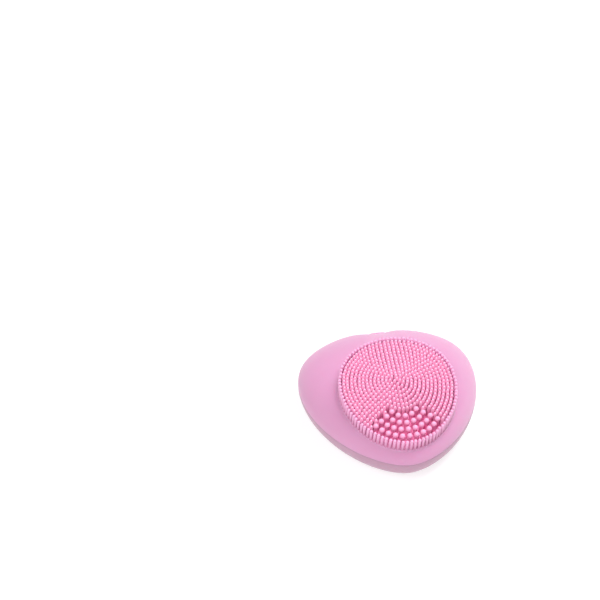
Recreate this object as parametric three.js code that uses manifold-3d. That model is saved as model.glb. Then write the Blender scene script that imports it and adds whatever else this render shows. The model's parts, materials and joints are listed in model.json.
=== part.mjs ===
// Silicone facial cleansing brush, electric, palm size, in a soft heart outline.
// It lies on its back cover: +Z up through the bristles, the rounded tip at -Y, the two lobes and the
// power key at +Y. The origin is under the middle of the body, on the flat of the back. Millimetres.

import * as THREE from 'three';
import { mergeVertices } from 'three/addons/utils/BufferGeometryUtils.js';
import Module from 'manifold-3d';

const wasm = await Module();
wasm.setup();

// ---- driving dimensions ----

// Body outline: its support radius is BODY + BODY_2 cos 2a + BODY_3 cos 3a, with a = 0 toward the tip,
// and it is moved along Y so that the tip and the lobes are equally far from the origin.
const BODY = 41.5;
const BODY_2 = 1.3;
const BODY_3 = 2.9;
const BODY_SHIFT = 3.6;
const NOTCH_DEPTH = 3.0;
const NOTCH_HALF_WIDTH = 8;
const PARTING_Z = 12.5;

// Pad outline, in a plane that slopes down to the tip.
const PAD = 26.6;
const PAD_2 = 0.65;
const PAD_3 = 0.7;
const PAD_Y = -11.7;
const PAD_HEIGHT = 12.8;
const PAD_TILT = THREE.MathUtils.degToRad(14);
const PAD_STEP = 0.7;

const BRISTLE_LENGTH = 6;
const FIELD_INSET = 0.4;

// Touch bristles: rows on arcs round one point of the pad's plane, TOUCH_CENTRE along its slope.
const TOUCH_ROWS = [11, 9, 7, 5];
const TOUCH_PITCH = 3.1;
const TOUCH_CENTRE = -8;
const TOUCH_ARC = 16.5;
const TOUCH_ARC_STEP = 3.4;
const TOUCH_STEM = 1.0;
const TOUCH_PLATE = 0.6;
const TOUCH_MARGIN = 0.5;

// Wall and shoulder of the upper cover: how far the curve keeps upright, and level at the pad.
const WALL_FULLNESS = 0.6;
const SHOULDER_FULLNESS = 0.1;
const BASE_ROUNDING = 14;
const GROOVE_INSETS = [16, 20, 24];
const GROOVE_WIDTH = 2.4;
const GROOVE_DEPTH = 1.0;

const GAP = 0.3;
const COVER_WALL = 2.2;
const SHELL_INSET = 2.55;
const SHELL_WALL = 1.8;
const SHELL_EDGE = 0.8;
const FLOOR_Z = SHELL_INSET + SHELL_WALL;

const SEGMENTS = 42;
const ROWS = 5;

// Power key: its middle, the lean of its outward direction above level, and its half sizes.
const KEY = {
  y: 35.75,
  z: 21.75,
  lean: THREE.MathUtils.degToRad(47),
  halfWidth: 4.2,
  halfHeight: 3.1,
  proud: 0.6,
  skirt: 3.5,
  flange: 4.1,
};
const KEY_BOARD = { halfWidth: 13.6, height: 8, front: 9.6, thickness: 1, screwX: 11.3, ledX: 7.6 };
const SWITCH = { side: 5, top: 7.2, well: 8.95, stemTip: 6.2, plungerTop: 6.5, plungerTip: 8.3 };

const PORT_Z = 9.2;
const PORT = { width: 10.8, height: 4.8, plugRear: 39.3, lipTip: 42 };
const INLET = { width: 8.9, height: 3.2, rear: 29.8, front: 37.2, wall: 0.35 };

const MOTOR = { y: -20, z: 11.6, can: 4, shaft: 1, hole: 1.3, rear: -12, front: 6, weight: 4.4 };
const CLAMP = { radius: MOTOR.can + 1 + 2 * GAP, wall: 1, ear: 8.2, earPlate: 1.2, inset: 3, hole: 1.1 };

// Shell screws: place, and the heights of the head and of the tip.
const SHELL_SCREWS = [
  [0, -33.5, 6.2, 15.8],
  [26, -2, 3.9, 19],
  [-26, -2, 3.9, 19],
  [21, 24, 3.9, 19],
  [-21, 24, 3.9, 19],
];

// Main board, the posts that carry it, and the cell.
const BOARD = { y: 20.5, z: 6.3, width: 30, depth: 20, thickness: 1 };
const BOARD_TOP = BOARD.z + BOARD.thickness;
const BOARD_POSTS = [[14.5, 12.6], [-14.5, 12.6]];
const CELL = { y: 0, z: 5.6, width: 34, depth: 17, height: 8, corner: 2 };

// ---- materials ----

function finish(color, roughness, metalness = 0) {
  return new THREE.MeshStandardMaterial({ color, roughness, metalness });
}

const pinkSilicone = () => finish(0xedaad6, 0.5);
const bristleSilicone = () => finish(0xf79cc8, 0.45);
const whitePlastic = () => finish(0xe9e6e4, 0.5);
const blackRubber = () => finish(0x2c2b2d, 0.8);
const steel = () => finish(0xb9bcc0, 0.3, 1);
const brass = () => finish(0xc9a24c, 0.35, 1);
const boardGreen = () => finish(0x1f6b45, 0.45);
const chipBlack = () => finish(0x1c1c1f, 0.5);
const cellFoil = () => finish(0xb8bfc9, 0.35, 0.6);
const wireRed = () => finish(0xc22a2a, 0.5);
const wireBlack = () => finish(0x1d1d1f, 0.5);

// ---- solids and booleans ----

function merged(geometry) {
  const plain = geometry.clone();
  plain.deleteAttribute('normal');
  plain.deleteAttribute('uv');
  return mergeVertices(plain, 1e-4);
}

function toSolid(geometry) {
  const plain = merged(geometry);
  return new wasm.Manifold(new wasm.Mesh({
    numProp: 3,
    vertProperties: new Float32Array(plain.attributes.position.array),
    triVerts: new Uint32Array(plain.index.array),
  }));
}

function toGeometry(solid) {
  const mesh = solid.getMesh();
  const geometry = new THREE.BufferGeometry();
  geometry.setAttribute('position', new THREE.BufferAttribute(new Float32Array(mesh.vertProperties), 3));
  geometry.setIndex(new THREE.BufferAttribute(new Uint32Array(mesh.triVerts), 1));
  geometry.computeVertexNormals();
  return geometry;
}

function cut(geometry, ...tools) {
  return toGeometry(tools.reduce((left, tool) => left.subtract(toSolid(tool)), toSolid(geometry)));
}

function join(geometry, ...others) {
  return toGeometry(others.reduce((sum, other) => sum.add(toSolid(other)), toSolid(geometry)));
}

function common(geometry, other) {
  return toGeometry(toSolid(geometry).intersect(toSolid(other)));
}

function box(width, depth, height, x, y, z) {
  return new THREE.BoxGeometry(width, depth, height).translate(x, y, z);
}

// A cylinder along +Z from z0 to z1.
function post(x, y, radius, z0, z1, sides = 14) {
  return new THREE.CylinderGeometry(radius, radius, z1 - z0, sides)
    .rotateX(Math.PI / 2)
    .translate(x, y, (z0 + z1) / 2);
}

// A cylinder along +X.
function barrel(x0, x1, radius, sides = 24) {
  return new THREE.CylinderGeometry(radius, radius, x1 - x0, sides)
    .rotateZ(Math.PI / 2)
    .translate((x0 + x1) / 2, MOTOR.y, MOTOR.z);
}

// A closed solid from rows of points, all with the same count, capped by a point at each end.
function loft(first, rows, last) {
  const count = rows[0].length;
  const points = [first, ...rows.flat(), last];
  const end = points.length - 1;
  const faces = [];
  for (let i = 0; i < count; i += 1) {
    const j = (i + 1) % count;
    faces.push(0, 1 + i, 1 + j);
    for (let r = 0; r < rows.length - 1; r += 1) {
      const a = 1 + r * count;
      const b = a + count;
      faces.push(a + i, b + i, b + j, a + i, b + j, a + j);
    }
    const tail = 1 + (rows.length - 1) * count;
    faces.push(tail + i, end, tail + j);
  }
  const geometry = new THREE.BufferGeometry().setFromPoints(points);
  geometry.setIndex(faces);
  geometry.computeVertexNormals();
  return geometry;
}

// A closed ring from rows of points: the last row joins the first again.
function ring(rows) {
  const count = rows[0].length;
  const faces = [];
  rows.forEach((row, r) => {
    const a = r * count;
    const b = ((r + 1) % rows.length) * count;
    for (let i = 0; i < count; i += 1) {
      const j = (i + 1) % count;
      faces.push(a + i, b + i, b + j, a + i, b + j, a + j);
    }
  });
  const geometry = new THREE.BufferGeometry().setFromPoints(rows.flat());
  geometry.setIndex(faces);
  geometry.computeVertexNormals();
  return geometry;
}

// ---- the heart outline and the surfaces made from it ----

// A point of an outline given by its support radius, at the angle a of its normal from -Y.
function supportPoint(a, base, second, third, scale) {
  const h = (base + second * Math.cos(2 * a) + third * Math.cos(3 * a)) * scale;
  const slope = (-2 * second * Math.sin(2 * a) - 3 * third * Math.sin(3 * a)) * scale;
  return {
    x: h * Math.sin(a) + slope * Math.cos(a),
    y: -(h * Math.cos(a) - slope * Math.sin(a)),
  };
}

function bodyPoint(a, inset) {
  const scale = (BODY - inset) / BODY;
  const p = supportPoint(a, BODY, BODY_2, BODY_3, scale);
  const notch = p.y > 0 ? NOTCH_DEPTH * Math.exp(-((p.x / NOTCH_HALF_WIDTH) ** 2)) * scale : 0;
  return { x: p.x, y: p.y + BODY_SHIFT - notch };
}

function padPlaneZ(y) {
  return PARTING_Z + PAD_HEIGHT + Math.tan(PAD_TILT) * (y - PAD_Y);
}

// A point of the pad outline: inset inward in the plane, lifted along the plane's normal.
function padPoint(a, inset, lift) {
  const p = supportPoint(a, PAD, PAD_2, PAD_3, (PAD - inset) / PAD);
  const y = PAD_Y + p.y;
  return new THREE.Vector3(p.x, y, padPlaneZ(y)).add(padLift(lift));
}

function padLift(lift) {
  return new THREE.Vector3(0, -Math.sin(PAD_TILT) * lift, Math.cos(PAD_TILT) * lift);
}

function padCentre(lift) {
  return new THREE.Vector3(0, PAD_Y, PARTING_Z + PAD_HEIGHT).add(padLift(lift));
}

const angles = Array.from({ length: SEGMENTS }, (_, i) => (i / SEGMENTS) * 2 * Math.PI);

function padRow(inset, lift) {
  return angles.map((a) => padPoint(a, inset, lift));
}

function bodyRow(inset, z) {
  return angles.map((a) => {
    const p = bodyPoint(a, inset);
    return new THREE.Vector3(p.x, p.y, z);
  });
}

// Upper half: at u = 0 the outline at height z0, at u = 1 the pad's edge, on a cubic curve between them.
function upperRow(u, inset, z0) {
  return angles.map((a) => {
    const p = bodyPoint(a, inset);
    const foot = new THREE.Vector3(p.x, p.y, z0);
    const edge = padPoint(a, inset * 0.8, -inset);
    const reach = Math.hypot(edge.x - p.x, edge.y - p.y) * SHOULDER_FULLNESS;
    const wall = new THREE.Vector3(p.x, p.y, PARTING_Z + WALL_FULLNESS * (edge.z - PARTING_Z));
    const away = new THREE.Vector3(Math.sin(a), -Math.cos(a), -Math.cos(a) * Math.tan(PAD_TILT));
    const shoulder = edge.clone().addScaledVector(away, reach);
    return new THREE.CubicBezierCurve3(foot, wall, shoulder, edge).getPoint(u);
  });
}

function upperRows(inset, z0) {
  return Array.from({ length: ROWS + 1 }, (_, i) => upperRow(1 - i / ROWS, inset, z0));
}

// Lower half: a quarter ellipse from the flat of the base at floorZ up to the outline at topZ.
function lowerRows(inset, floorZ, topZ) {
  return Array.from({ length: ROWS + 1 }, (_, i) => {
    const t = (1 - i / ROWS) * (Math.PI / 2);
    return bodyRow(inset + BASE_ROUNDING * (1 - Math.cos(t)), topZ - (topZ - floorZ) * Math.sin(t));
  });
}

const axisPoint = (z) => new THREE.Vector3(0, BODY_SHIFT, z);

// ---- places square to the power key: depth d runs inward from the body's surface ----

// Takes a geometry drawn along +Z, z = 0 at the surface and z negative inward, to the key's place.
function atKey(geometry) {
  return geometry.rotateX(KEY.lean - Math.PI / 2).translate(0, KEY.y, KEY.z);
}

function keyOval(halfWidth, halfHeight, d0, d1, sides = 22) {
  return atKey(new THREE.CylinderGeometry(1, 1, d1 - d0, sides)
    .rotateX(Math.PI / 2)
    .scale(halfWidth, halfHeight, 1)
    .translate(0, 0, -(d0 + d1) / 2));
}

function keyPost(x, radius, d0, d1, sides = 16) {
  return atKey(post(x, 0, radius, -d1, -d0, sides));
}

function keyBox(width, height, d0, d1, x = 0, y = 0) {
  return atKey(box(width, height, d1 - d0, x, y, -(d0 + d1) / 2));
}

// A point square to the key: across, up along its face, and at a depth.
function keyPoint(x, up, depth) {
  return [
    x,
    KEY.y - Math.sin(KEY.lean) * up - Math.cos(KEY.lean) * depth,
    KEY.z + Math.cos(KEY.lean) * up - Math.sin(KEY.lean) * depth,
  ];
}

const keyScrewPlaces = [-KEY_BOARD.screwX, KEY_BOARD.screwX];

// A slot with round ends, drawn along Y from y0 to y1, for the charging port.
function portSlot(width, height, y0, y1) {
  const r = height / 2;
  const straight = width / 2 - r;
  const shape = new THREE.Shape();
  shape.absarc(straight, 0, r, -Math.PI / 2, Math.PI / 2);
  shape.absarc(-straight, 0, r, Math.PI / 2, 1.5 * Math.PI);
  return new THREE.ExtrudeGeometry(shape, { depth: y1 - y0, bevelEnabled: false, curveSegments: 8 })
    .rotateX(Math.PI / 2)
    .translate(0, y1, PORT_Z);
}

// ---- covers ----

function upperCover() {
  const z0 = PARTING_Z + GAP / 2;
  const step = [padRow(0.8, PAD_STEP), padRow(0.2, PAD_STEP * 0.7)];
  const outside = upperRows(0, z0);
  const inside = upperRows(COVER_WALL, z0).reverse();
  const skin = loft(padCentre(PAD_STEP), [...step, ...outside, ...inside], padCentre(-COVER_WALL));
  return cut(skin, keyOval(KEY.halfWidth + GAP, KEY.halfHeight + GAP, -4, 6));
}

const LOWER_TOP = PARTING_Z - GAP / 2;

// The lower half as one solid form, without its hollow.
function lowerForm() {
  return loft(axisPoint(LOWER_TOP), lowerRows(0, 0, LOWER_TOP).reverse(), axisPoint(0));
}

function lowerCover() {
  const half = GROOVE_WIDTH / 2;
  const grooves = GROOVE_INSETS.flatMap((inset) => [
    bodyRow(inset - half, 0),
    bodyRow(inset, GROOVE_DEPTH),
    bodyRow(inset + half, 0),
  ]);
  const skin = loft(
    axisPoint(COVER_WALL),
    [...lowerRows(COVER_WALL, COVER_WALL, LOWER_TOP), ...lowerRows(0, 0, LOWER_TOP).reverse(), ...grooves],
    axisPoint(0),
  );
  return cut(skin, portSlot(PORT.width, PORT.height, 30, 50));
}

// ---- shells ----

function upperShell() {
  const z0 = PARTING_Z + SHELL_EDGE;
  const inner = SHELL_INSET + SHELL_WALL;
  const outside = upperRows(SHELL_INSET, z0);
  const inside = upperRows(inner, z0).reverse();
  const skin = loft(padCentre(-SHELL_INSET), [...outside, ...inside], padCentre(-inner));
  const solidForm = loft(padCentre(-SHELL_INSET), outside, axisPoint(z0));
  const bosses = SHELL_SCREWS.map(([x, y]) => common(post(x, y, 3, z0, 40), solidForm));
  const posts = keyScrewPlaces.map((x) => keyPost(x, 1.8, 4, KEY_BOARD.front - GAP));
  const shell = join(skin, ...bosses, ...posts);
  return cut(
    shell,
    ...SHELL_SCREWS.map(([x, y, , top]) => post(x, y, 1.3, z0 - 1, top + 0.5)),
    ...keyScrewPlaces.map((x) => keyPost(x, 1.0, 6, KEY_BOARD.front)),
    keyOval(KEY.halfWidth + 1.7, KEY.halfHeight + 1.7, -2, 7),
    keyPost(KEY_BOARD.ledX, 1.2, -2, 7),
  );
}

function lowerShell() {
  const z0 = PARTING_Z - SHELL_EDGE;
  const inner = SHELL_INSET + SHELL_WALL;
  const outside = lowerRows(SHELL_INSET, SHELL_INSET, z0).reverse();
  const inside = lowerRows(inner, FLOOR_Z, z0);
  const skin = loft(axisPoint(FLOOR_Z), [...inside, ...outside], axisPoint(SHELL_INSET));
  const solidForm = loft(axisPoint(z0), outside, axisPoint(SHELL_INSET));
  const bosses = SHELL_SCREWS.map(([x, y]) => common(post(x, y, 3.4, SHELL_INSET, z0), solidForm));
  const boardPosts = BOARD_POSTS.map(([x, y]) => post(x, y, 2, FLOOR_Z - 0.5, BOARD.z - GAP));
  return cut(
    join(skin, ...bosses, ...boardPosts),
    ...SHELL_SCREWS.map(([x, y]) => post(x, y, 1.4, 0, 20)),
    ...SHELL_SCREWS.map(([x, y, head]) => post(x, y, 2.4, 0, head + 1.4 + GAP)),
    ...BOARD_POSTS.map(([x, y]) => post(x, y, 1.1, FLOOR_Z + 0.3, BOARD.z + 1)),
    portSlot(INLET.width + 0.7, INLET.height + 0.7, 30, 50),
  );
}

function sealRing() {
  const outer = SHELL_INSET + 0.35;
  const inner = outer + 1.1;
  const low = PARTING_Z - 0.5;
  const high = PARTING_Z + 0.5;
  return ring([bodyRow(inner, high), bodyRow(outer, high), bodyRow(outer, low), bodyRow(inner, low)]);
}

// A turned piece standing along +Z from a profile of [radius, height] pairs.
function turned(profile, sides) {
  const points = profile.map(([r, z]) => new THREE.Vector2(r, z));
  return new THREE.LatheGeometry(points, sides).rotateX(Math.PI / 2);
}

function screw(length, headRadius = 2, headHeight = 1.4, radius = 1) {
  const profile = [
    [0, 0],
    [headRadius - 0.3, 0],
    [headRadius, 0.3],
    [headRadius, headHeight],
    [radius, headHeight],
    [radius, length - 1],
    [0, length],
  ];
  return turned(profile, 10);
}

// ---- bristles ----

// Takes a shape drawn in the pad's own plane, z = 0 on the plane, to its place.
function onPad(geometry) {
  return geometry.rotateX(PAD_TILT).translate(0, PAD_Y, PARTING_Z + PAD_HEIGHT);
}

// Row by row from the tip, the touch bristles stand at one pitch along their arcs.
function touchPlaces() {
  return TOUCH_ROWS.flatMap((count, row) => {
    const radius = TOUCH_ARC - row * TOUCH_ARC_STEP;
    return Array.from({ length: count }, (_, k) => {
      const turn = ((k - (count - 1) / 2) * TOUCH_PITCH) / radius;
      return { x: radius * Math.sin(turn), y: TOUCH_CENTRE - radius * Math.cos(turn) };
    });
  });
}

// The sector near the tip that the touch bristles fill, widened all round by a margin.
function touchZone(margin, lift, height) {
  const border = TOUCH_STEM + TOUCH_MARGIN + margin;
  const outer = TOUCH_ARC + border;
  const inner = TOUCH_ARC - (TOUCH_ROWS.length - 1) * TOUCH_ARC_STEP - border;
  const span = ((TOUCH_ROWS[0] - 1) / 2) * (TOUCH_PITCH / TOUCH_ARC);
  const down = -Math.PI / 2;
  const shape = new THREE.Shape();
  shape.absarc(0, TOUCH_CENTRE, outer, down - span - border / outer, down + span + border / outer);
  shape.absarc(0, TOUCH_CENTRE, inner, down + span + border / inner, down - span - border / inner, true);
  const options = { depth: height, bevelEnabled: false, curveSegments: 8 };
  return onPad(new THREE.ExtrudeGeometry(shape, options).translate(0, 0, lift));
}

function fineBristles() {
  const low = PAD_STEP + GAP;
  const high = PAD_STEP + BRISTLE_LENGTH;
  const field = loft(
    padCentre(high),
    [padRow(FIELD_INSET + 0.5, high), padRow(FIELD_INSET, high - 0.5), padRow(FIELD_INSET, low)],
    padCentre(low),
  );
  return cut(field, touchZone(GAP, low - 1, BRISTLE_LENGTH + 3));
}

function touchBristles() {
  const low = PAD_STEP + GAP;
  const high = PAD_STEP + BRISTLE_LENGTH;
  const stems = touchPlaces().map(({ x, y }) => onPad(post(x, y, TOUCH_STEM, low + 0.2, high, 6)));
  return join(touchZone(0, low, TOUCH_PLATE), ...stems);
}

// ---- power key, its switch and its board ----

function powerKey() {
  const cap = keyOval(KEY.halfWidth, KEY.halfHeight, -KEY.proud, KEY.skirt);
  const flange = keyOval(KEY.halfWidth + 0.9, KEY.halfHeight + 0.9, KEY.skirt - 0.2, KEY.flange);
  const stem = keyPost(0, 1.4, KEY.skirt, SWITCH.stemTip);
  return join(cap, flange, stem);
}

function switchPlunger() {
  return keyPost(0, 1.2, SWITCH.plungerTop, SWITCH.plungerTip);
}

function tactSwitch() {
  const block = keyBox(SWITCH.side, SWITCH.side, SWITCH.top, KEY_BOARD.front - GAP);
  return cut(block, keyPost(0, 1.5, SWITCH.top - 1, SWITCH.well));
}

function keyBoard() {
  const { halfWidth, height, front, thickness } = KEY_BOARD;
  const board = keyBox(2 * halfWidth, height, front, front + thickness);
  return cut(board, ...keyScrewPlaces.map((x) => keyPost(x, 1.0, front - 1, front + 2)));
}

function keyScrew(x) {
  const under = KEY_BOARD.front + KEY_BOARD.thickness + GAP;
  return atKey(screw(4.6, 1.5, 1, 0.7).translate(x, 0, -(under + 1)));
}

function indicatorLed() {
  return keyBox(1.8, 1.8, 8.4, KEY_BOARD.front - GAP, KEY_BOARD.ledX);
}

function lightPipe() {
  return keyPost(KEY_BOARD.ledX, 0.9, 3.2, 8.1, 12);
}

// ---- main board and charging port ----

function circuitBoard() {
  const board = box(BOARD.width, BOARD.depth, BOARD.thickness, 0, BOARD.y, BOARD.z + BOARD.thickness / 2);
  return cut(board, ...BOARD_POSTS.map(([x, y]) => post(x, y, 1.1, BOARD.z - 1, BOARD_TOP + 1)));
}

function onBoard(width, depth, height, x, y) {
  return box(width, depth, height, x, y, BOARD_TOP + GAP + height / 2);
}

function boardScrew([x, y]) {
  return screw(3.6, 1.7, 1.1, 0.8).rotateX(Math.PI).translate(x, y, BOARD_TOP + GAP + 1.1);
}

function chargeCoil() {
  const profile = [[0, 0], [2.4, 0], [2.4, 0.5], [1.6, 0.7], [1.6, 1.9], [2.4, 2.1], [2.4, 2.6], [0, 2.6]];
  return turned(profile, 16).translate(-8.5, 26, BOARD_TOP + GAP);
}

function plugConnector(x, y) {
  const low = BOARD_TOP + GAP;
  const body = box(5, 4, 3.2, x, y, low + 1.6);
  return cut(body, box(3.8, 3, 3, x, y - 1.2, low + 1.9));
}

function chargingInlet() {
  const { width, height, rear, front, wall } = INLET;
  const sleeve = portSlot(width, height, rear, front);
  return cut(sleeve, portSlot(width - 2 * wall, height - 2 * wall, rear + 1, front + 3));
}

function inletTongue() {
  return box(INLET.width - 2.5, 4.2, 0.6, 0, (INLET.rear + INLET.front) / 2 - 0.1, PORT_Z);
}

// Silicone stopper: flush with the cover, a boss that reaches into the inlet and a lip to pull it by.
function portPlug() {
  const { width, height, plugRear, lipTip } = PORT;
  const slot = portSlot(width - 2 * GAP, height - 2 * GAP, plugRear, lipTip + 3);
  const face = common(slot, lowerForm());
  const boss = portSlot(7.4, 1.7, INLET.front - 1.2, plugRear + 0.4);
  const lip = box(4.4, lipTip - plugRear, 0.9, 0, (lipTip + plugRear) / 2, PORT_Z + 1.1);
  return join(face, boss, lip);
}

// ---- cell ----

function roundedSlab(width, depth, height, radius, y, z) {
  const w = width / 2 - radius;
  const d = depth / 2 - radius;
  const shape = new THREE.Shape();
  shape.absarc(w, d, radius, 0, Math.PI / 2);
  shape.absarc(-w, d, radius, Math.PI / 2, Math.PI);
  shape.absarc(-w, -d, radius, Math.PI, 1.5 * Math.PI);
  shape.absarc(w, -d, radius, 1.5 * Math.PI, 2 * Math.PI);
  return new THREE.ExtrudeGeometry(shape, { depth: height, bevelEnabled: false, curveSegments: 4 })
    .translate(0, y, z);
}

const cell = () => roundedSlab(CELL.width, CELL.depth, CELL.height, CELL.corner, CELL.y, CELL.z);

function cellFoam() {
  const height = CELL.z - FLOOR_Z - 2 * GAP;
  return roundedSlab(CELL.width - 4, CELL.depth - 4, height, 1, CELL.y, FLOOR_Z + GAP);
}

// ---- motor ----

function motorCan() {
  const { rear, front, can, hole } = MOTOR;
  const bore = barrel(rear - 1, front - 0.8, can - 0.5);
  return cut(barrel(rear, front, can), bore, barrel(front - 2, front + 1, hole));
}

function motorEndCap() {
  const { rear, can, hole } = MOTOR;
  return cut(barrel(rear - 1.8, rear - GAP, can), barrel(rear - 3, rear + 1, hole));
}

function motorRotor() {
  const { rear, front, can, shaft } = MOTOR;
  return join(barrel(rear - 2.6, front + 8, shaft, 16), barrel(rear + 2, front - 3, can - 1.3, 20));
}

// Half a disc on a hub, pressed on the shaft: its heavy side hangs down at rest.
function eccentricWeight() {
  const { y, z, weight, hole } = MOTOR;
  const start = MOTOR.front + 2;
  const end = start + 5;
  const half = cut(barrel(start, end, weight), box(7, 12, 6, start + 2.5, y, z + 4.2));
  return cut(join(half, barrel(start, end, 2.2, 20)), barrel(start - 1, end + 1, hole, 20));
}

function motorSleeve() {
  const { rear, front, can } = MOTOR;
  return cut(barrel(rear + 2, front - 2, can + GAP + 1), barrel(rear, front, can + GAP));
}

const clampStart = MOTOR.rear + CLAMP.inset;
const clampEnd = MOTOR.front - CLAMP.inset;
const clampMiddle = (clampStart + clampEnd) / 2;

function clampHoles(z0, z1) {
  return [-CLAMP.ear, CLAMP.ear].map((dy) => post(clampMiddle, MOTOR.y + dy, CLAMP.hole, z0, z1, 10));
}

function motorCradle() {
  const low = FLOOR_Z + 0.8;
  const length = clampEnd - clampStart;
  const block = box(length, 9, MOTOR.z - low, clampMiddle, MOTOR.y, (MOTOR.z + low) / 2);
  const ears = box(length, 2 * CLAMP.ear + 2.8, 4.4, clampMiddle, MOTOR.y, MOTOR.z - 2.2);
  const bed = barrel(clampStart - 1, clampEnd + 1, CLAMP.radius);
  return cut(join(block, ears), bed, ...clampHoles(MOTOR.z - 3.4, MOTOR.z + 1));
}

function motorClamp() {
  const low = MOTOR.z + GAP;
  const length = clampEnd - clampStart;
  const { radius, wall, ear, earPlate } = CLAMP;
  const ears = box(length, 2 * ear + 2.8, earPlate, clampMiddle, MOTOR.y, low + earPlate / 2);
  const below = box(40, 20, 10, clampMiddle, MOTOR.y, low - 5);
  const arch = cut(barrel(clampStart, clampEnd, radius + wall), below);
  const bed = barrel(clampStart - 1, clampEnd + 1, radius);
  return cut(join(ears, arch), bed, ...clampHoles(MOTOR.z - 1, MOTOR.z + 3));
}

function clampScrew(side) {
  const headHeight = 1;
  const top = MOTOR.z + 2 * GAP + CLAMP.earPlate + headHeight;
  return screw(4, 1.3, headHeight, 0.8)
    .rotateX(Math.PI)
    .translate(clampMiddle, MOTOR.y + side * CLAMP.ear, top);
}

// ---- wires: each runs from where it is soldered to its plug on the main board ----

function wire(points, radius = 0.5, steps = 12) {
  const path = new THREE.CatmullRomCurve3(points.map(([x, y, z]) => new THREE.Vector3(x, y, z)));
  const shape = new THREE.Shape();
  shape.absarc(0, 0, radius, 0, 2 * Math.PI);
  const options = { steps, bevelEnabled: false, extrudePath: path, curveSegments: 3 };
  return new THREE.ExtrudeGeometry(shape, options);
}

function cellLead(x) {
  const z = CELL.z + CELL.height - 1.5;
  return wire([
    [x, CELL.y + CELL.depth / 2 + 0.6, z],
    [x, 10.6, z + 1],
    [x, 12.4, z - 0.5],
    [x, 13.3, BOARD_TOP + 2.2],
  ]);
}

function motorLead(offset) {
  const x = MOTOR.rear - 2.4;
  return wire([
    [x, MOTOR.y + 2.2, MOTOR.z + offset],
    [x - 3, MOTOR.y + 4.5, MOTOR.z + offset],
    [-20.4, -8, 10 + offset],
    [-20.4, 4, 9.4 + offset],
    [-19.4, 12, 9.4 + offset],
    [-15.5, 17.6, 9.4 + offset],
  ], 0.5, 18);
}

function keyLead(x) {
  const solderDepth = KEY_BOARD.front + KEY_BOARD.thickness + 0.7;
  return wire([
    keyPoint(x, -2.4, solderDepth),
    [x, 26.6, 12.9],
    [x, 24.8, 12.2],
    [x, 24.2, BOARD_TOP + 3.9],
  ], 0.4, 8);
}

// ---- assembly ----

const brush = new THREE.Group();

function add(name, geometry, material) {
  const mesh = new THREE.Mesh(geometry, material);
  mesh.name = name;
  brush.add(mesh);
}

add('upper_cover', upperCover(), pinkSilicone());
add('lower_cover', lowerCover(), pinkSilicone());
add('fine_bristle_field', fineBristles(), bristleSilicone());
add('touch_bristles', touchBristles(), bristleSilicone());
add('power_key', powerKey(), pinkSilicone());
add('port_plug', portPlug(), pinkSilicone());

add('upper_shell', upperShell(), whitePlastic());
add('lower_shell', lowerShell(), whitePlastic());
add('seal_ring', sealRing(), blackRubber());
SHELL_SCREWS.forEach(([x, y, head, top], i) => {
  add(`shell_screw_${i + 1}`, screw(top - head).translate(x, y, head), steel());
});

add('key_board', keyBoard(), boardGreen());
add('tact_switch', tactSwitch(), chipBlack());
add('switch_plunger', switchPlunger(), whitePlastic());
add('indicator_led', indicatorLed(), whitePlastic());
add('light_pipe', lightPipe(), whitePlastic());
add('key_screw_left', keyScrew(keyScrewPlaces[0]), steel());
add('key_screw_right', keyScrew(keyScrewPlaces[1]), steel());

add('circuit_board', circuitBoard(), boardGreen());
add('controller_chip', onBoard(5, 5, 1, 9, 22.5), chipBlack());
add('charge_chip', onBoard(3, 3, 1, 8, 28.2), chipBlack());
add('drive_transistor', onBoard(3, 1.6, 1, 9.5, 17), chipBlack());
add('charge_coil', chargeCoil(), chipBlack());
add('board_screw_left', boardScrew(BOARD_POSTS[1]), steel());
add('board_screw_right', boardScrew(BOARD_POSTS[0]), steel());
add('cell_connector', plugConnector(0, 15.4), whitePlastic());
add('motor_connector', plugConnector(-11.5, 20), whitePlastic());
add('key_connector', plugConnector(0, 24.6), whitePlastic());
add('charging_inlet', chargingInlet(), steel());
add('inlet_tongue', inletTongue(), chipBlack());

add('cell', cell(), cellFoil());
add('cell_foam', cellFoam(), blackRubber());
add('cell_lead_red', cellLead(1), wireRed());
add('cell_lead_black', cellLead(-1), wireBlack());

add('motor_can', motorCan(), steel());
add('motor_end_cap', motorEndCap(), whitePlastic());
add('motor_rotor', motorRotor(), steel());
add('eccentric_weight', eccentricWeight(), brass());
add('motor_sleeve', motorSleeve(), blackRubber());
add('motor_cradle', motorCradle(), whitePlastic());
add('motor_clamp', motorClamp(), whitePlastic());
add('clamp_screw_front', clampScrew(-1), steel());
add('clamp_screw_back', clampScrew(1), steel());
add('motor_lead_red', motorLead(1.2), wireRed());
add('motor_lead_black', motorLead(-1.2), wireBlack());
add('key_lead_red', keyLead(-2), wireRed());
add('key_lead_black', keyLead(2), wireBlack());

export default brush;
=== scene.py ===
import json
import math
import random

import bmesh
import bpy
from mathutils import Matrix, Vector


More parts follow.
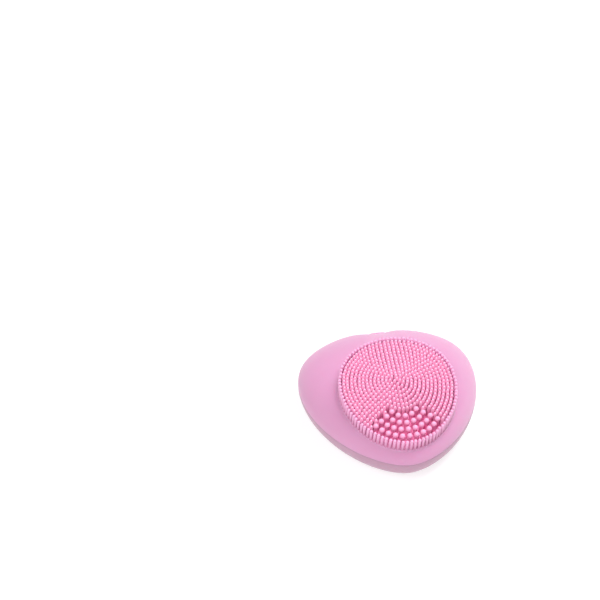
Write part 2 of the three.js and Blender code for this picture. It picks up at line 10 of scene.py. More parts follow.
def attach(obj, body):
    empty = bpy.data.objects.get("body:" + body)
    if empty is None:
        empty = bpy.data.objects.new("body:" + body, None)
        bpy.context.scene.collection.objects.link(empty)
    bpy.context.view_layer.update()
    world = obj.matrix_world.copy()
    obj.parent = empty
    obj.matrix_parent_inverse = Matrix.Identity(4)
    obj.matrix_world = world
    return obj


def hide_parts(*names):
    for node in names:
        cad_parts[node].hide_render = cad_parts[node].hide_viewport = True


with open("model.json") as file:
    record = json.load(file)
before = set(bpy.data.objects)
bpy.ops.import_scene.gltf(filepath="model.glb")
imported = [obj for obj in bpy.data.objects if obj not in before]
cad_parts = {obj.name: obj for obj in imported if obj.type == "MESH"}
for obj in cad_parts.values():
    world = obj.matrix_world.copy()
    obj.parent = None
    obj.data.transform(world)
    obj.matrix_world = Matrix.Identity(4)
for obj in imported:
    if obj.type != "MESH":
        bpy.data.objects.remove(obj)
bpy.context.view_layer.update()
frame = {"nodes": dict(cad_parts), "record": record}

# Electric silicone facial cleansing brush, lying on its back: +Z up through the bristles, the rounded
# tip at -Y, the two lobes and the power key at +Y. Shapes are drawn in millimetres, as the part is,
# and turned into metres when their mesh is made.
MM = 0.001

# ---- the part's driving dimensions: lengths in millimetres, angles in radians ----

# An outline is a mean support radius with a second and a third harmonic.
BODY = 41.5
BODY_2 = 1.3
BODY_3 = 2.9
BODY_SHIFT = 3.6
NOTCH_DEPTH = 3.0
NOTCH_HALF_WIDTH = 8.0
PARTING_Z = 12.5

PAD = 26.6
PAD_2 = 0.65
PAD_3 = 0.7
PAD_Y = -11.7
PAD_HEIGHT = 12.8
PAD_TILT = math.radians(14)
PAD_STEP = 0.7

BRISTLE_LENGTH = 6.0
TOUCH_ROWS = (11, 9, 7, 5)
TOUCH_PITCH = 3.1
TOUCH_CENTRE = -8.0
TOUCH_ARC = 16.5
TOUCH_ARC_STEP = 3.4

WALL_FULLNESS = 0.6
SHOULDER_FULLNESS = 0.1
BASE_ROUNDING = 14.0
GROOVE_INSETS = (16, 20, 24)
GROOVE_WIDTH = 2.4
GROOVE_DEPTH = 1.0

GAP = 0.3
COVER_WALL = 2.2
INNER_PAD_SHARE = 0.8

KEY_Y = 35.75
KEY_Z = 21.75
KEY_LEAN = math.radians(47)
KEY_HALF_WIDTH = 4.2
KEY_HALF_HEIGHT = 3.1
KEY_PROUD = 0.6
KEY_FLANGE_OUT = 0.9
KEY_FLANGE_TOP = 3.35
KEY_FLANGE_BOTTOM = 4.1
KEY_STEM_INSET = 1.2
KEY_STEM_END = 6.0

# The port is square to Y: pairs are the width and height of a slot with round ends.
PORT_Z = 9.2
PORT_OPENING = (10.8, 4.8)
PLUG_FACE = (10.2, 4.2)
PLUG_FACE_BACK = 39.3
PLUG_BOSS = (7.4, 1.7)
PLUG_BOSS_END = 36
PLUG_LIP = (4.4, 0.9)
PLUG_LIP_RISE = 1.1
PLUG_LIP_END = 42.0

# ---- finer values that only the visible surfaces need, in the same units ----

SEGMENTS = 192
EDGE_RADIUS = 0.16
SEAM_GAP = 0.02
RIM_CHAMFER = 0.3
GROOVE_SOFTENING = 0.35
GROOVED_INSET = 30

# The pad's bed, and its rounded step as insets from the pad's edge with their lifts.
BED_INSETS = (20, 12, 6, 3, 1.5, 0.75)
STEP_PROFILE = (
    (0.4, PAD_STEP - 0.04),
    (0.18, PAD_STEP - 0.16),
    (0.04, PAD_STEP - 0.36),
    (-0.06, 0.16),
    (-0.22, 0.05),
)

# A cut runs between two depths at the key, and between two places along Y at the port. The lip's
# rounding is how far short of its end a row lies and how much it shrinks there.
KEY_DOME_INSET = 0.2
KEY_DOME_TURN = math.radians(84)
KEY_SIDE_DEPTH = 1.5
KEY_FLANGE_EASE = 0.05
KEY_CUT = (-4, 6)
PORT_CUT = (30, 50)
PLUG_SINK = 0.05
PLUG_OVERLAP = 0.4
LIP_ROUNDING = ((0.7, 0.0), (0.25, 0.15), (0.05, 0.4))

# Bristles: heights are above the pad's bed, and a share is a part of the foot's or stem's radius.
RING_PITCH = 1.75
FIRST_RING_INSET = 0.8
MIDDLE_RING_RADIUS = 1
FINE_SPACING = 1.8
RING_RISE = 4.2
MIDDLE_LINE = 0.1
ROOT_DEPTH = 0.15
STEM_START = 0.6
DOME_END = math.radians(80)
LENGTH_SPREAD = 0.015
BRISTLE_SEED = 11

EDGE_FOOT_RADIUS = 0.84
EDGE_FILLET_HEIGHT = 0.12
EDGE_FILLET_SHARE = 0.93
EDGE_STEM_RADIUS = 0.74
EDGE_STEM_END = 4.6
EDGE_TIP_RADIUS = 0.76

FINE_FOOT_RADIUS = 0.9
FINE_STEM_START = 0.5
FINE_STEM_RADIUS = 0.87
FINE_STEM_END = 4.4
FINE_STEM_DRAFT = 0.03
FINE_NECK_HEIGHT = 5.0
FINE_NECK_RADIUS = 0.72
FINE_TIP_RADIUS = 0.56
FINE_SIDES = 10
FINE_LEAN = 0.025

TOUCH_STEM_RADIUS = 0.95
TOUCH_FOOT_SHARE = 1.25
TOUCH_FILLET_HEIGHT = 0.15
TOUCH_FILLET_SHARE = 1.1
TOUCH_HEAD_RADIUS = 1.22
TOUCH_SIDES = 20
TOUCH_LEAN = 0.01
TOUCH_CLEARANCE = 1.98
TOUCH_REACH = 3.4
TOUCH_NEIGHBOURS = 3

# Faces that meet at more than these angles keep a sharp edge between them.
SHARP_ANGLE = math.radians(50)
SHARP_BRISTLE_ANGLE = math.radians(80)

WELD_METRES = 0.000002

# ---- outlines: the same formulas as the part's ----


def support_point(a, base, second, third, scale):
    """A point of an outline given by its support radius, at the angle a of its normal from -Y."""
    h = (base + second * math.cos(2 * a) + third * math.cos(3 * a)) * scale
    slope = (-2 * second * math.sin(2 * a) - 3 * third * math.sin(3 * a)) * scale
    x = h * math.sin(a) + slope * math.cos(a)
    y = -(h * math.cos(a) - slope * math.sin(a))
    return x, y


def body_point(a, inset, z):
    scale = (BODY - inset) / BODY
    x, y = support_point(a, BODY, BODY_2, BODY_3, scale)
    notch = NOTCH_DEPTH * math.exp(-((x / NOTCH_HALF_WIDTH) ** 2)) * scale if y > 0 else 0
    return Vector((x, y + BODY_SHIFT - notch, z))


def pad_plane_z(y):
    return PARTING_Z + PAD_HEIGHT + math.tan(PAD_TILT) * (y - PAD_Y)


def pad_normal():
    return Vector((0, -math.sin(PAD_TILT), math.cos(PAD_TILT)))


def pad_slope():
    return Vector((0, math.cos(PAD_TILT), math.sin(PAD_TILT)))


def pad_point(a, inset, lift):
    """A point of the pad's outline: inset inward in its plane, lifted along the plane's normal."""
    x, y = support_point(a, PAD, PAD_2, PAD_3, (PAD - inset) / PAD)
    y += PAD_Y
    return Vector((x, y, pad_plane_z(y))) + pad_normal() * lift


def pad_centre(lift):
    return Vector((0, PAD_Y, PARTING_Z + PAD_HEIGHT)) + pad_normal() * lift


def axis_point(z):
    return Vector((0, BODY_SHIFT, z))


def upper_point(a, u, inset, z0):
    """Upper half, on a cubic curve: u = 0 is the outline at height z0 and u = 1 the pad's edge."""
    foot = body_point(a, inset, z0)
    edge = pad_point(a, inset * INNER_PAD_SHARE, -inset)
    reach = math.hypot(edge.x - foot.x, edge.y - foot.y) * SHOULDER_FULLNESS
    wall = Vector((foot.x, foot.y, PARTING_Z + WALL_FULLNESS * (edge.z - PARTING_Z)))
    away = Vector((math.sin(a), -math.cos(a), -math.cos(a) * math.tan(PAD_TILT)))
    shoulder = edge + away * reach
    v = 1 - u
    return foot * v**3 + wall * 3 * v * v * u + shoulder * 3 * v * u * u + edge * u**3


ANGLES = [2 * math.pi * i / SEGMENTS for i in range(SEGMENTS)]


def pad_row(inset, lift):
    return [pad_point(a, inset, lift) for a in ANGLES]


def body_row(inset, z):
    return [body_point(a, inset, z) for a in ANGLES]


def upper_row(u, inset, z0):
    return [upper_point(a, u, inset, z0) for a in ANGLES]


def lower_row(t, inset, floor_z, top_z):
    """Lower half: t = 0 is the outline at top_z and t = 1 the edge of the flat at floor_z."""
    turn = t * math.pi / 2
    return body_row(
        inset + BASE_ROUNDING * (1 - math.cos(turn)), top_z - (top_z - floor_z) * math.sin(turn)
    )


def steps(first, last, count):
    return [first + (last - first) * i / (count - 1) for i in range(count)]


# ---- meshes ----


def mesh_piece(name, points, faces, materials, face_material=None, sharp=SHARP_ANGLE):
    """A smooth mesh object in metres from points in millimetres."""
    mesh = bpy.data.meshes.new(name)
    mesh.from_pydata([p * MM for p in points], [], faces)
    for material in materials:
        mesh.materials.append(material)
    if face_material:
        mesh.polygons.foreach_set("material_index", [face_material(i) for i in range(len(faces))])
    mesh.validate()
    piece = bpy.data.objects.new(name, mesh)
    bpy.context.scene.collection.objects.link(piece)
    smooth(piece, sharp)
    return piece


def smooth(piece, sharp=SHARP_ANGLE):
    piece.data.polygons.foreach_set("use_smooth", [True] * len(piece.data.polygons))
    piece.data.set_sharp_from_angle(angle=sharp)
    piece.data.update()


def loft_faces(first, rows, last):
    """Points and faces of a closed form from rows with the same count, with a point at each end."""
    count = len(rows[0])
    points = [first, *(p for row in rows for p in row), last]
    end = len(points) - 1
    faces = []
    for i in range(count):
        faces.append((0, 1 + i, 1 + (i + 1) % count))
    for r in range(len(rows) - 1):
        a = 1 + r * count
        b = a + count
        for i in range(count):
            j = (i + 1) % count
            faces.append((a + i, b + i, b + j, a + j))
    tail = 1 + (len(rows) - 1) * count
    for i in range(count):
        faces.append((tail + i, end, tail + (i + 1) % count))
    return points, faces


def weld(mesh):
    """Joins points that a cut has left on top of each other."""
    shape = bmesh.new()
    shape.from_mesh(mesh)
    bmesh.ops.remove_doubles(shape, verts=shape.verts, dist=WELD_METRES)
    shape.to_mesh(mesh)
    shape.free()


def carve(piece, cutter, operation="DIFFERENCE"):
    """Cuts the cutter out of the piece, keeps what they share or joins them, and removes the cutter."""
    modifier = piece.modifiers.new("carve", "BOOLEAN")
    modifier.operation = operation
    modifier.solver = "EXACT"
    modifier.object = cutter
    bpy.context.view_layer.update()
    shaped = piece.evaluated_get(bpy.context.evaluated_depsgraph_get())
    mesh = bpy.data.meshes.new_from_object(shaped)
    weld(mesh)
    piece.modifiers.clear()
    piece.data = mesh
    bpy.data.objects.remove(cutter)
    smooth(piece)


# ---- materials ----


class Surface:
    """A procedural material with one shader, whose patterns are in the object's own metres."""

    def __init__(self, name, roughness, metallic=0.0):
        self.material = bpy.data.materials.new(name)
        self.material.use_nodes = True
        self.nodes = self.material.node_tree.nodes
        self.links = self.material.node_tree.links
        self.shader = self.nodes["Principled BSDF"]
        self.shader.inputs["Roughness"].default_value = roughness
        self.shader.inputs["Metallic"].default_value = metallic
        self.place = self.nodes.new("ShaderNodeTexCoord").outputs["Object"]

    def set(self, **values):
        for name, value in values.items():
            self.shader.inputs[name.replace("_", " ")].default_value = value

    def noise(self, scale, detail=3.0, stretch=None):
        node = self.nodes.new("ShaderNodeTexNoise")
        node.inputs["Scale"].default_value = scale
        node.inputs["Detail"].default_value = detail
        place = self.place
        if stretch:
            mapping = self.nodes.new("ShaderNodeMapping")
            mapping.inputs["Scale"].default_value = stretch
            self.links.new(self.place, mapping.inputs["Vector"])
            place = mapping.outputs["Vector"]
        self.links.new(place, node.inputs["Vector"])
        return node.outputs["Fac"]

    def colour(self, factor, low, high, start=0.35, end=0.65):
        """The base colour runs from low to high while the factor runs from start to end."""
        node = self.nodes.new("ShaderNodeValToRGB")
        node.color_ramp.elements[0].position = start
        node.color_ramp.elements[1].position = end
        node.color_ramp.elements[0].color = (*low, 1)
        node.color_ramp.elements[1].color = (*high, 1)
        self.links.new(factor, node.inputs["Fac"])
        self.links.new(node.outputs["Color"], self.shader.inputs["Base Color"])

    def vary_roughness(self, factor, low, high):
        node = self.nodes.new("ShaderNodeMapRange")
        node.inputs["To Min"].default_value = low
        node.inputs["To Max"].default_value = high
        self.links.new(factor, node.inputs["Value"])
        self.links.new(node.outputs["Result"], self.shader.inputs["Roughness"])

    def bump(self, height, strength, distance):
        node = self.nodes.new("ShaderNodeBump")
        node.inputs["Strength"].default_value = strength
        node.inputs["Distance"].default_value = distance
        self.links.new(height, node.inputs["Height"])
        self.links.new(node.outputs["Normal"], self.shader.inputs["Normal"])

    def silicone_skin(self, roughness):
        """The satin skin that every silicone part here has: a fine moulded grain, unevenly glossy."""
        self.vary_roughness(self.noise(350, 3.0), roughness - 0.05, roughness + 0.05)
        self.bump(self.noise(2600, 2.0), 0.08, 0.00004)


def silicone(name, tone, deeper, roughness, subsurface=0.35, sheen=0.12):
    """Satin silicone with a faint mottle, in which light spreads a little."""
    surface = Surface(name, roughness)
    surface.set(
        Subsurface_Weight=subsurface,
        Subsurface_Radius=(1.0, 0.45, 0.6),
        Subsurface_Scale=0.0025,
        Sheen_Weight=sheen,
        Sheen_Roughness=0.5,
        IOR=1.41,
    )
    surface.colour(surface.noise(60, 2.0), deeper, tone, 0.3, 0.7)
    surface.silicone_skin(roughness)
    return surface.material


def bristle_silicone(name, tip, root):
    """Bristles: the same silicone, with one colour at the free ends and a darker one down at the pad,
    painted shade among the packed bristles.
    """
    roughness = 0.42
    surface = Surface(name, roughness)
    surface.set(IOR=1.41)
    above = surface.nodes.new("ShaderNodeVectorMath")
    above.operation = "DOT_PRODUCT"
    above.inputs[1].default_value = pad_normal()
    surface.links.new(surface.place, above.inputs[0])
    bed = pad_centre(PAD_STEP).dot(pad_normal()) * MM
    height = surface.nodes.new("ShaderNodeMapRange")
    height.inputs["From Min"].default_value = bed
    height.inputs["From Max"].default_value = bed + BRISTLE_LENGTH * MM
    surface.links.new(above.outputs["Value"], height.inputs["Value"])
    # Painted shade: the colour darkens from the tip colour at the free ends to the root colour down at
    # the pad, where the packed bristles shade one another.
    surface.colour(height.outputs["Result"], root, tip, 0.05, 0.7)
    surface.silicone_skin(roughness)
    return surface.material


def plastic(name, tone, deeper, roughness):
    surface = Surface(name, roughness)
    surface.colour(surface.noise(90, 2.0), deeper, tone)
    surface.vary_roughness(surface.noise(500), roughness - 0.06, roughness + 0.08)
    surface.bump(surface.noise(1800, 2.0), 0.1, 0.00005)
    return surface.material


def rubber(name, tone, deeper):
    surface = Surface(name, 0.75)
    surface.colour(surface.noise(220), deeper, tone)
    surface.vary_roughness(surface.noise(700), 0.65, 0.85)
    surface.bump(surface.noise(1600), 0.2, 0.00006)
    return surface.material


def metal(name, tone, deeper, roughness, stretch):
    """Turned or brushed metal: fine lines, packed closest along the axis with the most stretch."""
    surface = Surface(name, roughness, 1.0)
    lines = surface.noise(300, 4.0, stretch)
    surface.colour(lines, deeper, tone, 0.3, 0.7)
    surface.vary_roughness(lines, roughness - 0.08, roughness + 0.12)
    surface.bump(lines, 0.12, 0.00003)
    return surface.material


def laminate(name):
    """Circuit board: green solder mask over a faint pattern of traces."""
    surface = Surface(name, 0.4)
    bricks = surface.nodes.new("ShaderNodeTexBrick")
    bricks.inputs["Scale"].default_value = 260
    bricks.inputs["Mortar Size"].default_value = 0.03
    bricks.inputs["Color1"].default_value = (0.012, 0.16, 0.065, 1)
    bricks.inputs["Color2"].default_value = (0.014, 0.175, 0.072, 1)
    bricks.inputs["Mortar"].default_value = (0.018, 0.205, 0.085, 1)
    surface.links.new(surface.place, bricks.inputs["Vector"])
    surface.links.new(bricks.outputs["Color"], surface.shader.inputs["Base Color"])
    surface.bump(bricks.outputs["Fac"], 0.3, 0.00003)
    return surface.material


def foil(name):
    """Pouch cell: crinkled laminated foil."""
    surface = Surface(name, 0.35, 0.8)
    creases = surface.noise(140, 5.0)
    surface.colour(creases, (0.42, 0.45, 0.5), (0.62, 0.65, 0.7))
    surface.vary_roughness(surface.noise(420), 0.25, 0.45)
    surface.bump(creases, 0.5, 0.0003)
    return surface.material


def clear(name):
    surface = Surface(name, 0.2)
    surface.set(Transmission_Weight=0.6, IOR=1.46)
    surface.colour(surface.noise(400), (0.8, 0.8, 0.85), (0.92, 0.92, 0.95))
    surface.bump(surface.noise(900), 0.05, 0.00004)
    return surface.material


def light_table(name):
    """The white floor of a studio light table: it glows evenly, so shadows on it stay faint."""
    surface = Surface(name, 0.9)
    surface.set(Specular_IOR_Level=0.1, Emission_Color=(1, 1, 1, 1), Emission_Strength=0.72)
    surface.colour(surface.noise(5, 2.0), (0.38, 0.38, 0.38), (0.4, 0.4, 0.4))
    return surface.material


FINISHES = {
    "cover_silicone": silicone("cover_silicone", (0.675, 0.315, 0.52), (0.66, 0.305, 0.505), 0.42),
    # back_silicone is a darker, greyer copy of the cover's silicone: painted shade on the lower half,
    # which faces down. The port plug shares it.
    "back_silicone": silicone("back_silicone", (0.49, 0.27, 0.38), (0.47, 0.26, 0.365), 0.45),
    "bed_silicone": silicone("bed_silicone", (0.96, 0.34, 0.61), (0.94, 0.32, 0.59), 0.45, 0.0, 0.0),
    # In each bristle finish below, the second colour is the darker root colour: painted shade down among
    # the packed bristles.
    # edge_silicone is darker all over than bristle_silicone, the same silicone: painted shade on the
    # outermost ring of bristles.
    "edge_silicone": bristle_silicone("edge_silicone", (0.84, 0.41, 0.64), (0.6, 0.23, 0.4)),
    "bristle_silicone": bristle_silicone("bristle_silicone", (0.98, 0.49, 0.71), (0.85, 0.33, 0.56)),
    "touch_silicone": bristle_silicone("touch_silicone", (0.91, 0.4, 0.62), (0.95, 0.33, 0.59)),
    "shell_plastic": plastic("shell_plastic", (0.82, 0.81, 0.79), (0.76, 0.75, 0.73), 0.45),
    "clear_plastic": clear("clear_plastic"),
    "black_rubber": rubber("black_rubber", (0.03, 0.03, 0.03), (0.018, 0.018, 0.02)),
    "screw_steel": metal("screw_steel", (0.66, 0.67, 0.69), (0.5, 0.51, 0.53), 0.3, (1, 1, 12)),
    "weight_brass": metal("weight_brass", (0.78, 0.58, 0.27), (0.62, 0.44, 0.18), 0.32, (14, 1, 1)),
    "board_laminate": laminate("board_laminate"),
    "chip_plastic": plastic("chip_plastic", (0.022, 0.022, 0.025), (0.014, 0.014, 0.016), 0.5),
    "cell_foil": foil("cell_foil"),
    "red_wire": plastic("red_wire", (0.6, 0.02, 0.02), (0.5, 0.015, 0.015), 0.4),
    "black_wire": plastic("black_wire", (0.02, 0.02, 0.02), (0.012, 0.012, 0.012), 0.4),
}


REPLACED_NODES = set()


def finished(piece, body, node):
    """Puts a new piece on its body, in place of the CAD node it stands for."""
    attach(piece, body)
    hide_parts(node)
    REPLACED_NODES.add(node)


def dress_cad_nodes():
    """Every CAD node that stays gets the procedural finish of its slot in the record."""
    for part in frame["record"]["subparts"]:
        name = part["node"]
        if name in REPLACED_NODES:
            continue
        mesh = frame["nodes"][name].data
        mesh.materials.clear()
        mesh.materials.append(FINISHES[part["material_slot"]])


# ---- places square to the power key: depth runs inward from the body's surface ----

KEY_PLACE = Matrix.Translation((0, KEY_Y, KEY_Z)) @ Matrix.Rotation(KEY_LEAN - math.pi / 2, 4, "X")


def key_row(half_width, half_height, depth, count=64):
    turns = [2 * math.pi * i / count for i in range(count)]
    return [
        KEY_PLACE @ Vector((half_width * math.cos(t), half_height * math.sin(t), -depth)) for t in turns
    ]


def key_centre(depth):
    return KEY_PLACE @ Vector((0, 0, -depth))


def oval(name, profile, top, bottom, materials):
    """A closed oval form square to the key: profile is (inset from the key's half sizes, depth)."""
    rows = [key_row(KEY_HALF_WIDTH - i, KEY_HALF_HEIGHT - i, d) for i, d in profile]
    points, faces = loft_faces(key_centre(top), rows, key_centre(bottom))
    return mesh_piece(name, points, faces, materials)


# ---- covers ----


def upper_cover():
    """The soft upper cover: pad bed, step, shoulder, wall, rounded parting edge and its inner face."""
    z0 = PARTING_Z + SEAM_GAP / 2
    bed = [pad_row(inset, PAD_STEP) for inset in BED_INSETS]
    step = [pad_row(inset, lift) for inset, lift in STEP_PROFILE]
    outside = [upper_row(u, 0, z0) for u in (0.975, *steps(0.95, 0.05, 27), 0.025)]
    rim = edge_rows(z0, 1)
    inside = [upper_row(u, COVER_WALL, z0) for u in steps(0.02, 1, 12)]
    rows = bed + step + outside + rim + inside
    points, faces = loft_faces(pad_centre(PAD_STEP), rows, pad_centre(-COVER_WALL))
    bed_faces = SEGMENTS * len(bed)
    cover = mesh_piece(
        "upper_cover_skin",
        points,
        faces,
        [FINISHES["cover_silicone"], FINISHES["bed_silicone"]],
        lambda i: 1 if i < bed_faces else 0,
    )
    profile = [(-GAP, depth) for depth in KEY_CUT]
    carve(cover, oval("key_opening", profile, *KEY_CUT, [FINISHES["cover_silicone"]]))
    finished(cover, "casing", "upper_cover")


def edge_rows(z, side):
    """A rounded rim at the parting line: side 1 for the upper cover, whose rim looks down, or -1."""
    outer = [
        (EDGE_RADIUS * (1 - math.cos(t)), EDGE_RADIUS * (1 - math.sin(t)))
        for t in (0, math.pi / 6, math.pi / 3, math.pi / 2)
    ]
    flat = [(COVER_WALL - RIM_CHAMFER, 0.0), (COVER_WALL, RIM_CHAMFER)]
    return [body_row(inset, z + side * rise) for inset, rise in outer + flat]


def groove_height(inset):
    """Height of the back's massage grooves, a smooth dip round each groove's middle."""
    nearest = min(abs(inset - middle) for middle in GROOVE_INSETS)
    half = GROOVE_WIDTH / 2 + GROOVE_SOFTENING
    if nearest >= half:
        return 0.0
    return GROOVE_DEPTH * (0.5 + 0.5 * math.cos(math.pi * nearest / half))


def lower_cover():
    """The back cover: inner face, rounded parting edge, curved side and a flat with massage grooves."""
    z0 = PARTING_Z - SEAM_GAP / 2
    inside = [lower_row(t, COVER_WALL, COVER_WALL, z0) for t in steps(1, 0.04, 12)]
    rim = edge_rows(z0, -1)[::-1]
    outside = [lower_row(t, 0, 0, z0) for t in (0.06, *steps(0.1, 1, 20))]
    grooved = steps(BASE_ROUNDING + GROOVE_SOFTENING, GROOVED_INSET, 46)
    back = [body_row(inset, groove_height(inset)) for inset in grooved]
    points, faces = loft_faces(axis_point(COVER_WALL), inside + rim + outside + back, axis_point(0))
    # Its finish, back_silicone, is darkened as painted shade for this downward-facing half.
    cover = mesh_piece("lower_cover_skin", points, faces, [FINISHES["back_silicone"]])
    carve(cover, slot_form("port_opening", *PORT_OPENING, *PORT_CUT))
    finished(cover, "casing", "lower_cover")


def slot_row(width, height, y, count=24):
    """A slot outline with round ends, square to Y, at the charging port."""
    radius = height / 2
    straight = width / 2 - radius
    row = []
    for side in (1, -1):
        for i in range(count):
            t = -math.pi / 2 + math.pi * i / (count - 1)
            across = side * (straight + radius * math.cos(t))
            row.append(Vector((across, y, PORT_Z + side * radius * math.sin(t))))
    return row


def slot_form(name, width, height, y0, y1):
    """A closed slot-shaped form along Y."""
    rows = [slot_row(width, height, y) for y in (y0, y1)]
    points, faces = loft_faces(Vector((0, y0, PORT_Z)), rows, Vector((0, y1, PORT_Z)))
    return mesh_piece(name, points, faces, [FINISHES["back_silicone"]])


def plug_lip():
    """The lip to pull the plug by: a small tongue with a rounded end, above the plug's middle."""
    width, height = PLUG_LIP
    root = PLUG_FACE_BACK + PLUG_OVERLAP / 2
    rise = Vector((0, 0, PLUG_LIP_RISE))
    rows = [[p + rise for p in slot_row(width, height, root)]]
    for short, shrink in LIP_ROUNDING:
        row = slot_row(width - shrink, height - shrink, PLUG_LIP_END - short)
        rows.append([p + rise for p in row])
    ends = [Vector((0, y, PORT_Z)) + rise for y in (root, PLUG_LIP_END)]
    points, faces = loft_faces(ends[0], rows, ends[1])
    return mesh_piece("lip", points, faces, [FINISHES["back_silicone"]])


def port_plug():
    """The stopper: a face flush with the back cover, a boss into the inlet and a lip to pull it by."""
    z0 = PARTING_Z - GAP / 2
    plug = slot_form("port_plug_skin", *PLUG_FACE, PLUG_FACE_BACK, PORT_CUT[1])
    outside = [lower_row(t, PLUG_SINK, 0, z0) for t in steps(0, 1, 20)]
    points, faces = loft_faces(axis_point(z0), outside, axis_point(0))
    carve(plug, mesh_piece("body_form", points, faces, [FINISHES["back_silicone"]]), "INTERSECT")
    carve(plug, slot_form("boss", *PLUG_BOSS, PLUG_BOSS_END, PLUG_FACE_BACK + PLUG_OVERLAP), "UNION")
    carve(plug, plug_lip(), "UNION")
    finished(plug, "plug", "port_plug")


def power_key():
    """The raised oval key, softly domed, with the flange that holds it in and a tapered stem."""
    reach = KEY_HALF_HEIGHT - KEY_DOME_INSET
    turns = steps(KEY_DOME_TURN, 0, 10)
    dome = [(reach * (1 - math.cos(t)), -KEY_PROUD * math.sin(t)) for t in turns]
    skirt = [
        (0.0, KEY_SIDE_DEPTH),
        (0.0, KEY_FLANGE_TOP - KEY_FLANGE_EASE),
        (-KEY_FLANGE_OUT, KEY_FLANGE_TOP),
        (-KEY_FLANGE_OUT, KEY_FLANGE_BOTTOM),
        (KEY_STEM_INSET, KEY_FLANGE_BOTTOM),
    ]
    finish = FINISHES["cover_silicone"]
    key = oval("power_key_cap", dome + skirt, -KEY_PROUD, KEY_STEM_END, [finish])
    finished(key, "key", "power_key")


# ---- bristles ----


def pad_place(x, along, lift):
    """A point given in the pad's plane: across, along the slope from its centre, and above it."""
    return pad_centre(lift) + Vector((x, 0, 0)) + pad_slope() * along


def ring_line(inset, count=361):
    """Half a ring on the +X side, from the far middle round to the middle at the tip.

    Rings are parallel to the pad's edge, and the inner ones are rounder and lie further up the slope.
    """
    base = PAD - inset
    third = PAD_3 * math.sqrt(base / PAD)
    line = []
    for a in steps(math.pi, 0, count):
        x, y = support_point(a, base, PAD_2 * base / PAD, third, 1)
        line.append(Vector((x, y / math.cos(PAD_TILT) + RING_RISE * inset / PAD)))
    return line


def spaced(line, pitch):
    """Points along a line, from its first to its last, as near to one pitch apart as they divide."""
    lengths = [0.0]
    for p, q in zip(line, line[1:]):
        lengths.append(lengths[-1] + (q - p).length)
    count = max(1, round(lengths[-1] / pitch))
    places = []
    for k in range(count + 1):
        distance = lengths[-1] * k / count
        i = next(i for i in range(1, len(line)) if lengths[i] >= distance or i == len(line) - 1)
        share = (distance - lengths[i - 1]) / (lengths[i] - lengths[i - 1])
        places.append(line[i - 1].lerp(line[i], share))
    return places


def touch_places():
    """Row by row from the tip, at one pitch on arcs round one point of the pad's plane."""
    places = []
    for row, count in enumerate(TOUCH_ROWS):
        radius = TOUCH_ARC - row * TOUCH_ARC_STEP
        for k in range(count):
            turn = (k - (count - 1) / 2) * TOUCH_PITCH / radius
            places.append(Vector((radius * math.sin(turn), TOUCH_CENTRE - radius * math.cos(turn))))
    return places


def outside_touch_rows(place, touch):
    """Clear of every thick bristle and not in among several of them."""
    distances = [(place - q).length for q in touch]
    near = sum(d < TOUCH_REACH for d in distances)
    return min(distances) > TOUCH_CLEARANCE and near < TOUCH_NEIGHBOURS


def fine_rings(touch):
    """Rings of fine bristles from the edge inward, the same on both sides, clear of the thick ones."""
    rings = []
    inset = FIRST_RING_INSET
    while inset < PAD - MIDDLE_RING_RADIUS:
        places = []
        for p in spaced(ring_line(inset), FINE_SPACING):
            sides = (1,) if abs(p.x) < MIDDLE_LINE else (1, -1)
            places.extend(Vector((side * p.x, p.y)) for side in sides)
        rings.append([p for p in places if outside_touch_rows(p, touch)])
        inset += RING_PITCH
    return rings


def rods(name, places, profile, sides, lean, material):
    """One mesh of upright bristles: profile is (height above the pad's bed, radius) from the foot up."""
    normal = pad_normal()
    slope = pad_slope()
    across = Vector((1, 0, 0))
    points = []
    faces = []
    for place in places:
        foot = pad_place(place.x, place.y, PAD_STEP)
        sway = across * random.uniform(-lean, lean) + slope * random.uniform(-lean, lean)
        turn = random.uniform(0, math.pi)
        grow = random.uniform(1 - LENGTH_SPREAD, 1 + LENGTH_SPREAD)
        rows = []
        for height, radius in profile:
            middle = foot + (normal + sway) * height * grow
            rows.append(
                [
                    middle
                    + across * radius * math.cos(turn + 2 * math.pi * i / sides)
                    + slope * radius * math.sin(turn + 2 * math.pi * i / sides)
                    for i in range(sides)
                ]
            )
        top = foot + (normal + sway) * BRISTLE_LENGTH * grow
        bottom = foot - normal * ROOT_DEPTH
        more_points, more_faces = loft_faces(top, rows[::-1], bottom)
        start = len(points)
        points.extend(more_points)
        faces.extend(tuple(start + i for i in face) for face in more_faces)
    return mesh_piece(name, points, faces, [material], sharp=SHARP_BRISTLE_ANGLE)


def dome_profile(radius, neck, count):
    """Rows of a bristle's rounded end, from its neck up to just under its tip."""
    rows = []
    low = -math.acos(neck / radius)
    for i in range(count):
        t = low + (DOME_END - low) * i / (count - 1)
        rows.append((BRISTLE_LENGTH - radius + radius * math.sin(t), radius * math.cos(t)))
    return rows


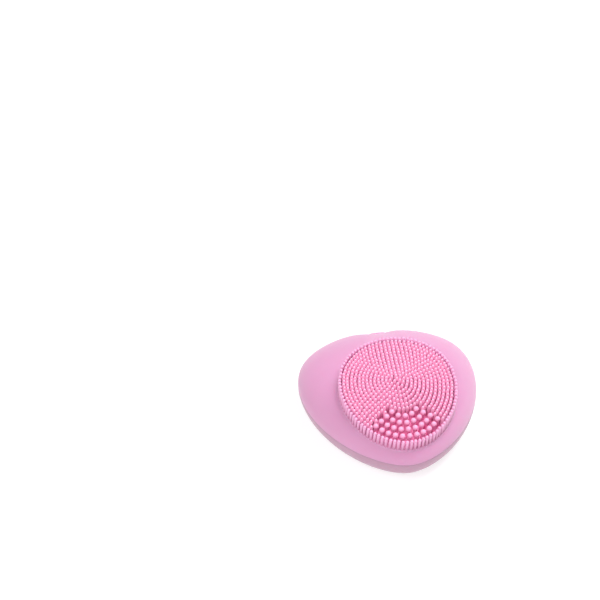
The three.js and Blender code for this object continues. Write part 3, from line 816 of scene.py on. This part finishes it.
def bristles():
    """The edge ring, the tapered fine bristles inside it and the thick round-headed ones."""
    random.seed(BRISTLE_SEED)
    touch = touch_places()
    edge_profile = [
        (-ROOT_DEPTH, EDGE_FOOT_RADIUS),
        (EDGE_FILLET_HEIGHT, EDGE_FOOT_RADIUS * EDGE_FILLET_SHARE),
        (STEM_START, EDGE_STEM_RADIUS),
        (EDGE_STEM_END, EDGE_STEM_RADIUS),
        *dome_profile(EDGE_TIP_RADIUS, EDGE_TIP_RADIUS, 4),
    ]
    fine_profile = [
        (-ROOT_DEPTH, FINE_FOOT_RADIUS),
        (FINE_STEM_START, FINE_STEM_RADIUS),
        (FINE_STEM_END, FINE_STEM_RADIUS - FINE_STEM_DRAFT),
        (FINE_NECK_HEIGHT, FINE_NECK_RADIUS),
        *dome_profile(FINE_TIP_RADIUS, FINE_TIP_RADIUS, 4),
    ]
    edge_ring, *inner_rings = fine_rings(touch)
    inner = [place for places in inner_rings for place in places]
    for name, places, profile, finish in (
        ("edge_bristles", edge_ring, edge_profile, FINISHES["edge_silicone"]),
        ("fine_bristles", inner, fine_profile, FINISHES["bristle_silicone"]),
    ):
        fine = rods(name, places, profile, FINE_SIDES, FINE_LEAN, finish)
        finished(fine, "casing", "fine_bristle_field")
    touch_profile = [
        (-ROOT_DEPTH, TOUCH_STEM_RADIUS * TOUCH_FOOT_SHARE),
        (TOUCH_FILLET_HEIGHT, TOUCH_STEM_RADIUS * TOUCH_FILLET_SHARE),
        (STEM_START, TOUCH_STEM_RADIUS),
        *dome_profile(TOUCH_HEAD_RADIUS, TOUCH_STEM_RADIUS, 9),
    ]
    finish = FINISHES["touch_silicone"]
    thick = rods("thick_bristles", touch, touch_profile, TOUCH_SIDES, TOUCH_LEAN, finish)
    finished(thick, "casing", "touch_bristles")


# ---- floor, light and camera, in metres ----

FLOOR_HALF = 3.0
SKY_STRENGTH = 0.43

# The picture spans PICTURE_SPAN at the view's distance, and the aim's place in it is given as shares
# of its width from its middle.
VIEW_AZIMUTH = math.radians(-12.6)
VIEW_ELEVATION = math.radians(42.0)
VIEW_ROLL = math.radians(1.66)
VIEW_DISTANCE = 0.65
PICTURE_SPAN = 0.2697
AIM_ACROSS = 0.1532
AIM_UP = -0.1664
SENSOR_MM = 36.0


def floor():
    corners = ((-1, -1), (1, -1), (1, 1), (-1, 1))
    points = [Vector((x * FLOOR_HALF, y * FLOOR_HALF, 0)) / MM for x, y in corners]
    plane = mesh_piece("floor", points, [(0, 1, 2, 3)], [light_table("floor_white")])


def soft_light(name, place, size, power):
    """A round white area light, turned toward the origin."""
    data = bpy.data.lights.new(name, "AREA")
    data.shape = "DISK"
    data.size = size
    data.energy = power
    light = bpy.data.objects.new(name, data)
    light.location = place
    light.rotation_euler = (-Vector(place)).to_track_quat("-Z", "Y").to_euler()
    bpy.context.scene.collection.objects.link(light)


def lighting():
    world = bpy.data.worlds.new("studio")
    world.use_nodes = True
    sky = world.node_tree.nodes["Background"]
    sky.inputs["Color"].default_value = (1, 1, 1, 1)
    sky.inputs["Strength"].default_value = SKY_STRENGTH
    bpy.context.scene.world = world
    soft_light("key_light", place=(0.36, 0.12, 0.9), size=0.6, power=8.2)
    soft_light("fill_light", place=(-0.36, -0.46, 0.72), size=0.5, power=3.8)


def camera():
    """Aims at the middle of the parting plane, and turns until that is right of and below the centre."""
    aim = Vector((0, 0, PARTING_Z * MM))
    back = Vector(
        (
            math.sin(VIEW_AZIMUTH) * math.cos(VIEW_ELEVATION),
            -math.cos(VIEW_AZIMUTH) * math.cos(VIEW_ELEVATION),
            math.sin(VIEW_ELEVATION),
        )
    )
    data = bpy.data.cameras.new("camera")
    data.sensor_width = SENSOR_MM
    data.lens = SENSOR_MM * VIEW_DISTANCE / PICTURE_SPAN
    data.clip_start = 0.01
    data.clip_end = 20
    seen = Vector((AIM_ACROSS, AIM_UP, -data.lens / SENSOR_MM)).normalized()
    look = (-back).to_track_quat("-Z", "Y").to_matrix() @ Matrix.Rotation(VIEW_ROLL, 3, "Z")
    turn = seen.rotation_difference(Vector((0, 0, -1))).to_matrix()
    eye = bpy.data.objects.new("camera", data)
    eye.matrix_world = Matrix.Translation(aim + back * VIEW_DISTANCE) @ (look @ turn).to_4x4()
    bpy.context.scene.collection.objects.link(eye)
    bpy.context.scene.camera = eye
    bpy.context.scene.view_settings.view_transform = "Standard"


camera()
lighting()
floor()
upper_cover()
lower_cover()
power_key()
port_plug()
bristles()
dress_cad_nodes()
